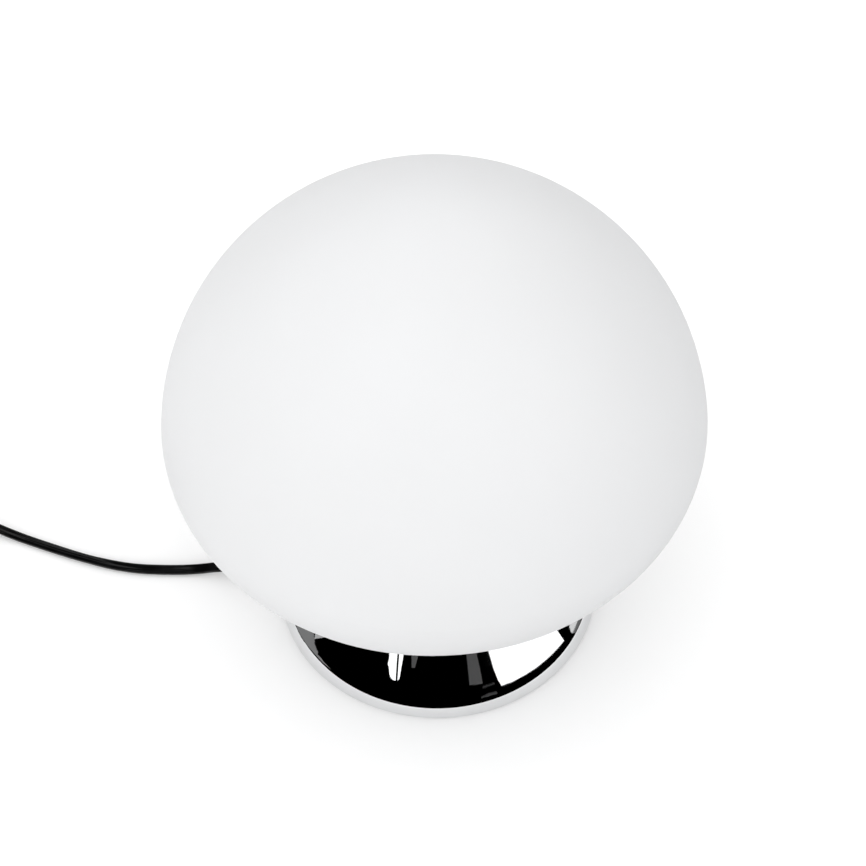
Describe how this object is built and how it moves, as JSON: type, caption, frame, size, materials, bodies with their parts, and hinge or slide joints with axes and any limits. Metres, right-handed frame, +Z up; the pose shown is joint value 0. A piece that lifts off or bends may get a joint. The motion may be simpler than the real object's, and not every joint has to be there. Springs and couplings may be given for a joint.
{
  "type": "glass globe table lamp",
  "caption": "Table lamp with a large flattened opal glass globe seated by its neck on a domed chrome base, with a flat black cord, in-line rocker switch and plug.",
  "frame": {"origin": "middle of the base where it stands on the table", "axes": "+Z up along the axis of base and globe; the cord leaves towards -X; -Y is the side that faces the viewer"},
  "size_m": [0.5714, 0.28, 0.2828],
  "materials": {
    "chrome": "polished chrome plate on spun steel",
    "opal_glass": "satin white opal glass, acid-etched outside",
    "cast_iron": "black-painted grey iron casting",
    "zinc_steel": "bright zinc plate",
    "pad": "closed-cell foam rubber",
    "silicone": "translucent silicone rubber",
    "holder_plastic": "white heat-proof moulding",
    "porcelain": "glazed porcelain",
    "nickel_brass": "nickel-plated brass",
    "bronze": "phosphor bronze strip",
    "bulb_opal": "frosted opal diffuser",
    "bulb_white": "white moulding",
    "black_glass": "fused black insulator",
    "cord_pvc": "black flexible vinyl",
    "core_pvc": "core insulation",
    "black_plastic": "satin black moulding"
  },
  "bodies": {
    "lamp": {"base_shell": "chrome", "base_ballast": "cast_iron", "base_cover": "zinc_steel", "base_pad": "pad", "cover_screws": "zinc_steel", "stem": "zinc_steel", "stem_washers": "zinc_steel", "stem_nuts": "zinc_steel", "gallery": "chrome", "globe_gasket": "silicone", "holder_cap": "holder_plastic", "holder_skirt": "holder_plastic", "holder_insert": "porcelain", "holder_screw_shell": "nickel_brass", "holder_centre_contact": "bronze", "holder_terminals": "nickel_brass", "terminal_screws": "zinc_steel", "cord_relief": "cord_pvc", "cord_clamp_base": "black_plastic", "cord_clamp_saddle": "black_plastic", "clamp_screws": "zinc_steel", "cord_inner": "cord_pvc", "inner_wires": "core_pvc", "cord_lead": "cord_pvc", "cord_run": "cord_pvc", "cord_coil": "cord_pvc", "cord_tail": "cord_pvc", "switch_lower": "black_plastic", "switch_upper": "black_plastic", "switch_contacts": "nickel_brass", "switch_screws": "zinc_steel", "plug_body": "cord_pvc", "plug_pins": "nickel_brass", "pin_sleeves": "black_plastic"},
    "globe": {"glass_globe": "opal_glass"},
    "bulb_foot": {"bulb_contact": "nickel_brass", "bulb_insulator": "black_glass"},
    "bulb": {"bulb_cap": "nickel_brass", "bulb_housing": "bulb_white", "bulb_diffuser": "bulb_opal"},
    "rocker": {"switch_rocker": "black_plastic"}
  },
  "joints": [
    {"name": "globe_lift", "type": "slide", "parent": "lamp", "child": "globe", "axis": [0, 0, 1], "range_m": [0, 0.15]},
    {"name": "bulb_rise", "type": "slide", "parent": "lamp", "child": "bulb_foot", "axis": [0, 0, 1], "range_m": [0, 0.0109]},
    {"name": "bulb_turn", "type": "hinge", "parent": "bulb_foot", "child": "bulb", "pos_m": [0, 0, 0.108], "axis": [0, 0, 1], "range_deg": [0, 1080]},
    {"name": "switch_rock", "type": "hinge", "parent": "lamp", "child": "rocker", "pos_m": [-0.323, 0.028, 0.0122], "axis": [0, -1, 0], "range_deg": [0, 16]}
  ],
  "couplings": [
    {"joint": "bulb_rise", "follows": "bulb_turn", "m_per_rad": 0.00057751}
  ]
}
